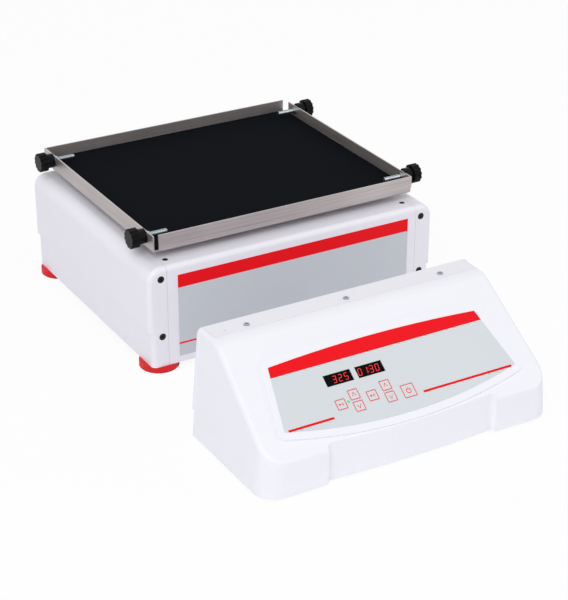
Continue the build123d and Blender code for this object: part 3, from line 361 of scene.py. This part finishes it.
# A key prints a thin rounded square and its symbol
def key_film(node):
    middle, down, half = key_place(node)

    def mask_of(finish):
        across, below = panel_axes(finish, middle, down)
        up = 0 - below
        flat = half - key_corner
        reach_x = (abs(across) - flat).over(0)
        reach_y = (abs(up) - flat).over(0)
        edge = (reach_x * reach_x + reach_y * reach_y).math("SQRT")
        outer = key_corner - key_line_in
        frame_line = edge.within(outer - key_line_width, outer)
        if "toggle" in node:
            symbol = toggle(across, up)
        elif "power" in node:
            symbol = power(across, up)
        else:
            symbol = arrow(across, up, 1 if "up" in node else -1)
        return (frame_line + symbol).math("MINIMUM", 1)

    return film(f"{node}_film", film_grey, mask_of)


def lamp_lens():
    finish = Finish("lamp_lens")
    glow = finish.noise(500.0)
    finish.set(
        {
            "Base Color": finish.mix(glow, srgb(60, 190, 90), srgb(120, 225, 140)),
            "Emission Color": srgb(60, 210, 90),
            "Emission Strength": 0.35,
            "Roughness": 0.25,
        }
    )
    return finish


def digit_light():
    finish = Finish("digit_light")
    glow = finish.noise(900.0)
    finish.set(
        {
            "Base Color": finish.mix(glow, srgb(190, 20, 30), srgb(230, 40, 50)),
            "Emission Color": srgb(235, 30, 45),
            "Emission Strength": 0.8,
            "Roughness": 0.4,
        }
    )
    return finish


# Printed circuit: green lacquer with paler copper tracks under it
def circuit():
    finish = Finish("circuit_lacquer")
    x, y, z = finish.axes()
    tracks = ((x * 260).math("FRACT") < 0.3) + ((y * 210).math("FRACT") < 0.25)
    broken = (finish.noise(120.0) > 0.52) * (tracks > 0)
    finish.set(
        {
            "Base Color": finish.mix(broken, srgb(18, 84, 48), srgb(38, 122, 72)),
            "Roughness": 0.4 - 0.1 * broken,
        }
    )
    return finish


white_paint = skin("white_paint", srgb(241, 240, 248), 0.36, relief=0.00002, cloud=0.012)
white_plastic = skin("white_plastic", srgb(244, 244, 251), 0.42, grain=1500.0, relief=0.00002, cloud=0.012)



# A smooth black surface: the higher the specular level, the paler it reads
def black(name, colour, roughness, specular):
    return skin(name, colour, roughness, grain=1200.0, relief=0.00001, cloud=0.2, specular=specular)


black_plastic = black("black_plastic", srgb(7, 7, 9), 0.28, specular=0.12)
display_glass = black("display_glass", srgb(4, 4, 5), 0.3, specular=0.05)
red_rubber = skin("red_rubber", srgb(222, 24, 32), 0.4, grain=500.0, relief=0.00005, cloud=0.06, specular=0.3)
zinc_plate = skin("zinc_plate", srgb(160, 168, 174), 0.34, metallic=1.0, grain=1800.0, cloud=0.08)
blackened_screw = skin("blackened_screw", srgb(52, 46, 46), 0.34, metallic=0.6, grain=1600.0, cloud=0.15)
cast_aluminium = skin("cast_aluminium", srgb(172, 174, 178), 0.5, metallic=0.9, grain=420.0, relief=0.0001)
cast_iron = skin("cast_iron", srgb(92, 92, 96), 0.55, metallic=0.8, grain=300.0, relief=0.00012)
coated_plate = skin("coated_plate", srgb(168, 170, 175), 0.45, metallic=0.4, grain=700.0, relief=0.00004)
finishes = {
    "white_paint": white_paint,
    "white_plastic": white_plastic,
    "panel_film": film("shaker_film", shaker_film_grey, shaker_print),
    "steel": brushed_steel(),
    "black_rubber": mat_rubber(),
    "red_rubber": red_rubber,
    "black_plastic": black_plastic,
    "zinc": zinc_plate,
    "dark_screw": blackened_screw,
    "cast_aluminium": cast_aluminium,
    "cast_iron": cast_iron,
    "plate_steel": coated_plate,
    "circuit_board": circuit(),
    "lamp_green": lamp_lens(),
}
node_slots = {
    "plate_steel": ("base_frame", "console_base"),
    "white_paint": ("left_end_cover", "right_end_cover", "centre_cover", "console_rear_panel"),
    "white_plastic": ("console_shell",),
    "panel_film": ("front_film",),
    "dark_screw": ("cover_screws",),
    "red_rubber": ("rubber_feet",),
    "zinc": (
        "foot_screws", "shaft_bearings", "base_screws", "shaker_lead_socket", "console_screws",
        "console_lead_socket", "motor_shaft", "platform_bearings", "tray_screws", "thumbscrew_inserts",
        "drive_crank", "idler_left_crank", "idler_right_crank",
    ),
    "black_plastic": ("motor_case", "speed_sensor", "display_modules", "mains_inlet"),
    "black_rubber": ("drive_belt", "console_feet", "mat"),
    "lamp_green": ("status_lamp",),
    "circuit_board": ("control_board", "power_supply"),
    "cast_aluminium": (
        "driven_pulley", "motor_pulley", "platform_carrier", "drive_bearing_housing",
        "idler_left_bearing_housing", "idler_right_bearing_housing",
    ),
    "steel": ("tray",),
    "cast_iron": ("drive_counterweight", "idler_left_counterweight", "idler_right_counterweight"),
}
key_nodes = [node for node in frame["nodes"] if node.endswith("_key")]


def body_of(node):
    return frame["nodes"][node]["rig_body"]


def dress(piece, finish):
    piece.data.materials.clear()
    piece.data.materials.append(finish.material)


def choose(piece):
    bpy.ops.object.select_all(action="DESELECT")
    piece.select_set(True)
    bpy.context.view_layer.objects.active = piece


def modify(piece, kind, **settings):
    choose(piece)
    modifier = piece.modifiers.new(kind.lower(), kind)
    for setting, value in settings.items():
        setattr(modifier, setting, value)
    bpy.ops.object.modifier_apply(modifier=modifier.name)


# Selects the vertices that pass a test, in edit mode
def pick(piece, test):
    bpy.ops.mesh.select_all(action="DESELECT")
    bpy.ops.object.mode_set(mode="OBJECT")
    for vertex in piece.data.vertices:
        vertex.select = test(vertex.co)
    bpy.ops.object.mode_set(mode="EDIT")


# A copy of a node with its facets merged and its round faces shaded smooth, in the node's place
def smooth_copy(node, finish, angle=28.0):
    source = frame["nodes"][node]
    piece = source.copy()
    piece.data = source.data.copy()
    piece.name = f"{node}_surface"
    for label in list(piece.keys()):
        del piece[label]
    bpy.context.scene.collection.objects.link(piece)
    piece.parent = None
    choose(piece)
    bpy.ops.mesh.customdata_custom_splitnormals_clear()
    bpy.ops.object.mode_set(mode="EDIT")
    bpy.ops.mesh.select_all(action="SELECT")
    bpy.ops.mesh.remove_doubles(threshold=0.000002)
    bpy.ops.object.mode_set(mode="OBJECT")
    bpy.ops.object.shade_smooth_by_angle(angle=radians(angle))
    modify(piece, "WEIGHTED_NORMAL", keep_sharp=True, weight=100)
    dress(piece, finish)
    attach(piece, body_of(node))
    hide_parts(node)
    return piece


def paint(node, finish):
    for place in frame["nodes"][node].material_slots:
        place.material = finish.material


for slot, nodes in node_slots.items():
    for node in nodes:
        paint(node, finishes[slot])
paint("console_film", film("console_film_print", film_grey, console_print))
paint("display_modules", display_glass)
for node in key_nodes:
    paint(node, key_film(node))

for node, slot in (
    ("left_end_cover", "white_paint"),
    ("right_end_cover", "white_paint"),
    ("centre_cover", "white_paint"),
    ("console_rear_panel", "white_paint"),
    ("console_shell", "white_plastic"),
    ("rubber_feet", "red_rubber"),
    ("tray", "steel"),
    ("mat", "black_rubber"),
    ("cover_screws", "dark_screw"),
    ("thumbscrew_inserts", "zinc"),
):
    smooth_copy(node, finishes[slot])
knob_nodes = [node for node in frame["nodes"] if node.endswith("_knob")]
for node in knob_nodes:
    smooth_copy(node, black_plastic)


# Threaded studs: one turn of thread, repeated along the stud and closed at both ends
def threaded_stud(node):
    low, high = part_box(node)
    axis = (low + high) / 2
    radius = (high.y - low.y) / 2
    turns = int((high.x - low.x) / thread_pitch)
    start = axis.x - turns * thread_pitch / 2
    bpy.ops.object.select_all(action="DESELECT")
    bpy.ops.mesh.primitive_cylinder_add(
        vertices=thread_sides,
        radius=radius,
        depth=thread_pitch,
        end_fill_type="NOTHING",
        location=(start + thread_pitch / 2, axis.y, axis.z),
        rotation=(0, pi / 2, 0),
    )
    stud = bpy.context.active_object
    stud.name = f"{node}_thread"
    bpy.ops.object.transform_apply(location=True, rotation=True, scale=True)
    bpy.ops.object.mode_set(mode="EDIT")
    bpy.ops.mesh.select_all(action="SELECT")
    bpy.ops.mesh.bisect(plane_co=(start + thread_pitch / 2, 0, 0), plane_no=(1, 0, 0))
    bpy.ops.transform.resize(value=(1, thread_root, thread_root))
    bpy.ops.object.mode_set(mode="OBJECT")
    modify(
        stud,
        "ARRAY",
        count=turns,
        use_relative_offset=False,
        use_constant_offset=True,
        constant_offset_displace=(thread_pitch, 0, 0),
        use_merge_vertices=True,
        merge_threshold=0.00001,
    )
    choose(stud)
    bpy.ops.object.mode_set(mode="EDIT")
    for end in (start, start + turns * thread_pitch):
        pick(stud, lambda place: abs(place.x - end) < thread_pitch / 10)
        bpy.ops.transform.resize(value=(1, thread_root, thread_root))
        bpy.ops.mesh.edge_face_add()
    bpy.ops.mesh.select_all(action="SELECT")
    bpy.ops.mesh.normals_make_consistent(inside=False)
    bpy.ops.object.mode_set(mode="OBJECT")
    dress(stud, finishes["zinc"])
    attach(stud, body_of(node))
    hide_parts(node)


stud_nodes = [node for node in frame["nodes"] if node.endswith("_stud")]
for node in stud_nodes:
    threaded_stud(node)


# One bar of a digit: a long hexagon with a little relief
def digit_segment():
    bpy.ops.object.select_all(action="DESELECT")
    bpy.ops.mesh.primitive_circle_add(vertices=6, radius=digit_bar / cos(pi / 6), fill_type="NGON")
    segment = bpy.context.active_object
    bpy.ops.object.mode_set(mode="EDIT")
    stretch = digit_cell - digit_bar - digit_gap
    for side in (-1, 1):
        pick(segment, lambda place: side * place.y > digit_bar / 4)
        bpy.ops.transform.translate(value=(0, side * stretch, 0))
    bpy.ops.mesh.select_all(action="SELECT")
    bpy.ops.mesh.extrude_region_move(TRANSFORM_OT_translate={"value": (0, 0, digit_relief)})
    bpy.ops.mesh.select_all(action="SELECT")
    bpy.ops.mesh.normals_make_consistent(inside=False)
    bpy.ops.object.mode_set(mode="OBJECT")
    return segment


# The digits lean to the right
slant = Matrix(((1, tan(digit_slant), 0, 0), (0, 1, 0, 0), (0, 0, 1, 0), (0, 0, 0, 1)))
segment = digit_segment()


def copied(source, matrix):
    piece = source.copy()
    piece.data = source.data.copy()
    bpy.context.scene.collection.objects.link(piece)
    piece.data.transform(matrix)
    return piece


# The bars of a row of digits on one display, as one piece
def display_digits(name, characters, middle, up):
    bars = []
    column = middle - (len(characters.replace(":", "")) - 1) * digit_pitch / 2
    for character in characters:
        if character == ":":
            for level in (-1, 1):
                cell = Matrix.Translation((column - digit_pitch / 2, up, digit_seat))
                place = Matrix.Translation((0, level * digit_cell, 0))
                squash = Matrix.Diagonal((1, colon_height, 1, 1))
                bars.append(copied(segment, panel_matrix @ cell @ slant @ place @ squash))
            continue
        for letter in digit_bars[character]:
            x, y, upright = bar_places[letter]
            place = Matrix.Translation((x * digit_cell, y * digit_cell, 0))
            turn = Matrix.Rotation(0 if upright else pi / 2, 4, "Z")
            cell = Matrix.Translation((column, up, digit_seat))
            bars.append(copied(segment, panel_matrix @ cell @ slant @ place @ turn))
        column += digit_pitch
    bpy.ops.object.select_all(action="DESELECT")
    for bar in bars:
        bar.select_set(True)
    bpy.context.view_layer.objects.active = bars[0]
    bpy.ops.object.join()
    digits = bpy.context.active_object
    digits.name = name
    dress(digits, digit_light())
    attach(digits, "base")


display_digits("speed_display_digits", "325", speed_digits_middle, display_up)
display_digits("time_display_digits", "01:30", time_digits_middle, display_up)
bpy.data.objects.remove(segment)


# Floor: nearly white to the camera, with the object's shadow kept on it
floor_size = 12
floor_camera_share = 0.92


def build_floor():
    bpy.ops.object.select_all(action="DESELECT")
    bpy.ops.mesh.primitive_plane_add(size=floor_size, location=(0, 0, 0))
    floor = bpy.context.active_object
    floor.name = "floor"
    finish = Finish("pale_floor")
    finish.set({"Base Color": srgb(246, 246, 248), "Roughness": 0.9})
    light = finish.node("ShaderNodeLightPath", output="Is Camera Ray")
    glow = finish.node("ShaderNodeEmission", values={"Color": (1, 1, 1, 1), "Strength": 1.0})
    shader = Value(finish, finish.shader.outputs[0])
    blend = finish.node("ShaderNodeMixShader", values={0: light * floor_camera_share, 1: shader, 2: glow})
    finish.feed(finish.tree.nodes["Material Output"], {0: blend})
    dress(floor, finish)


build_floor()


# World: white to the camera and in reflections, a plain soft level on the object
world_level = 0.62


def build_world():
    world = bpy.data.worlds.new("studio")
    world.use_nodes = True
    bpy.context.scene.world = world
    nodes, links = world.node_tree.nodes, world.node_tree.links
    path = nodes.new("ShaderNodeLightPath")
    seen = nodes.new("ShaderNodeMath")
    seen.operation = "MAXIMUM"
    clear = nodes.new("ShaderNodeMath")
    clear.operation = "MAXIMUM"
    links.new(path.outputs["Is Camera Ray"], seen.inputs[0])
    links.new(path.outputs["Is Glossy Ray"], seen.inputs[1])
    links.new(seen.outputs[0], clear.inputs[0])
    links.new(path.outputs["Is Transmission Ray"], clear.inputs[1])
    level = nodes.new("ShaderNodeMapRange")
    level.inputs["To Min"].default_value = world_level
    level.inputs["To Max"].default_value = 1.0
    links.new(clear.outputs[0], level.inputs["Value"])
    background = nodes["Background"]
    background.inputs["Color"].default_value = (1, 1, 1, 1)
    links.new(level.outputs[0], background.inputs["Strength"])


build_world()


def soft_light(name, place, aim, size, power):
    lamp = bpy.data.lights.new(name, "AREA")
    lamp.size = size
    lamp.energy = power
    holder = bpy.data.objects.new(name, lamp)
    bpy.context.scene.collection.objects.link(holder)
    holder.location = place
    holder.rotation_euler = (Vector(aim) - Vector(place)).to_track_quat("-Z", "Y").to_euler()


soft_light("key_light", (-2.2, -2.4, 3.0), (0, -0.1, 0.1), 2.2, 62.0)
soft_light("fill_light", (2.8, -1.6, 2.0), (0, -0.1, 0.1), 2.5, 16.0)

camera = bpy.data.cameras.new("camera")
camera.lens = camera_lens
camera.sensor_width = 36.0
camera.clip_end = 50.0
camera_object = bpy.data.objects.new("camera", camera)
bpy.context.scene.collection.objects.link(camera_object)
camera_object.matrix_world = (
    Matrix.Translation(camera_place)
    @ Matrix.Rotation(camera_turn, 4, "Z")
    @ Matrix.Rotation(pi / 2 - camera_pitch, 4, "X")
    @ Matrix.Rotation(camera_roll, 4, "Z")
)
bpy.context.scene.camera = camera_object
bpy.context.scene.view_settings.view_transform = "Standard"
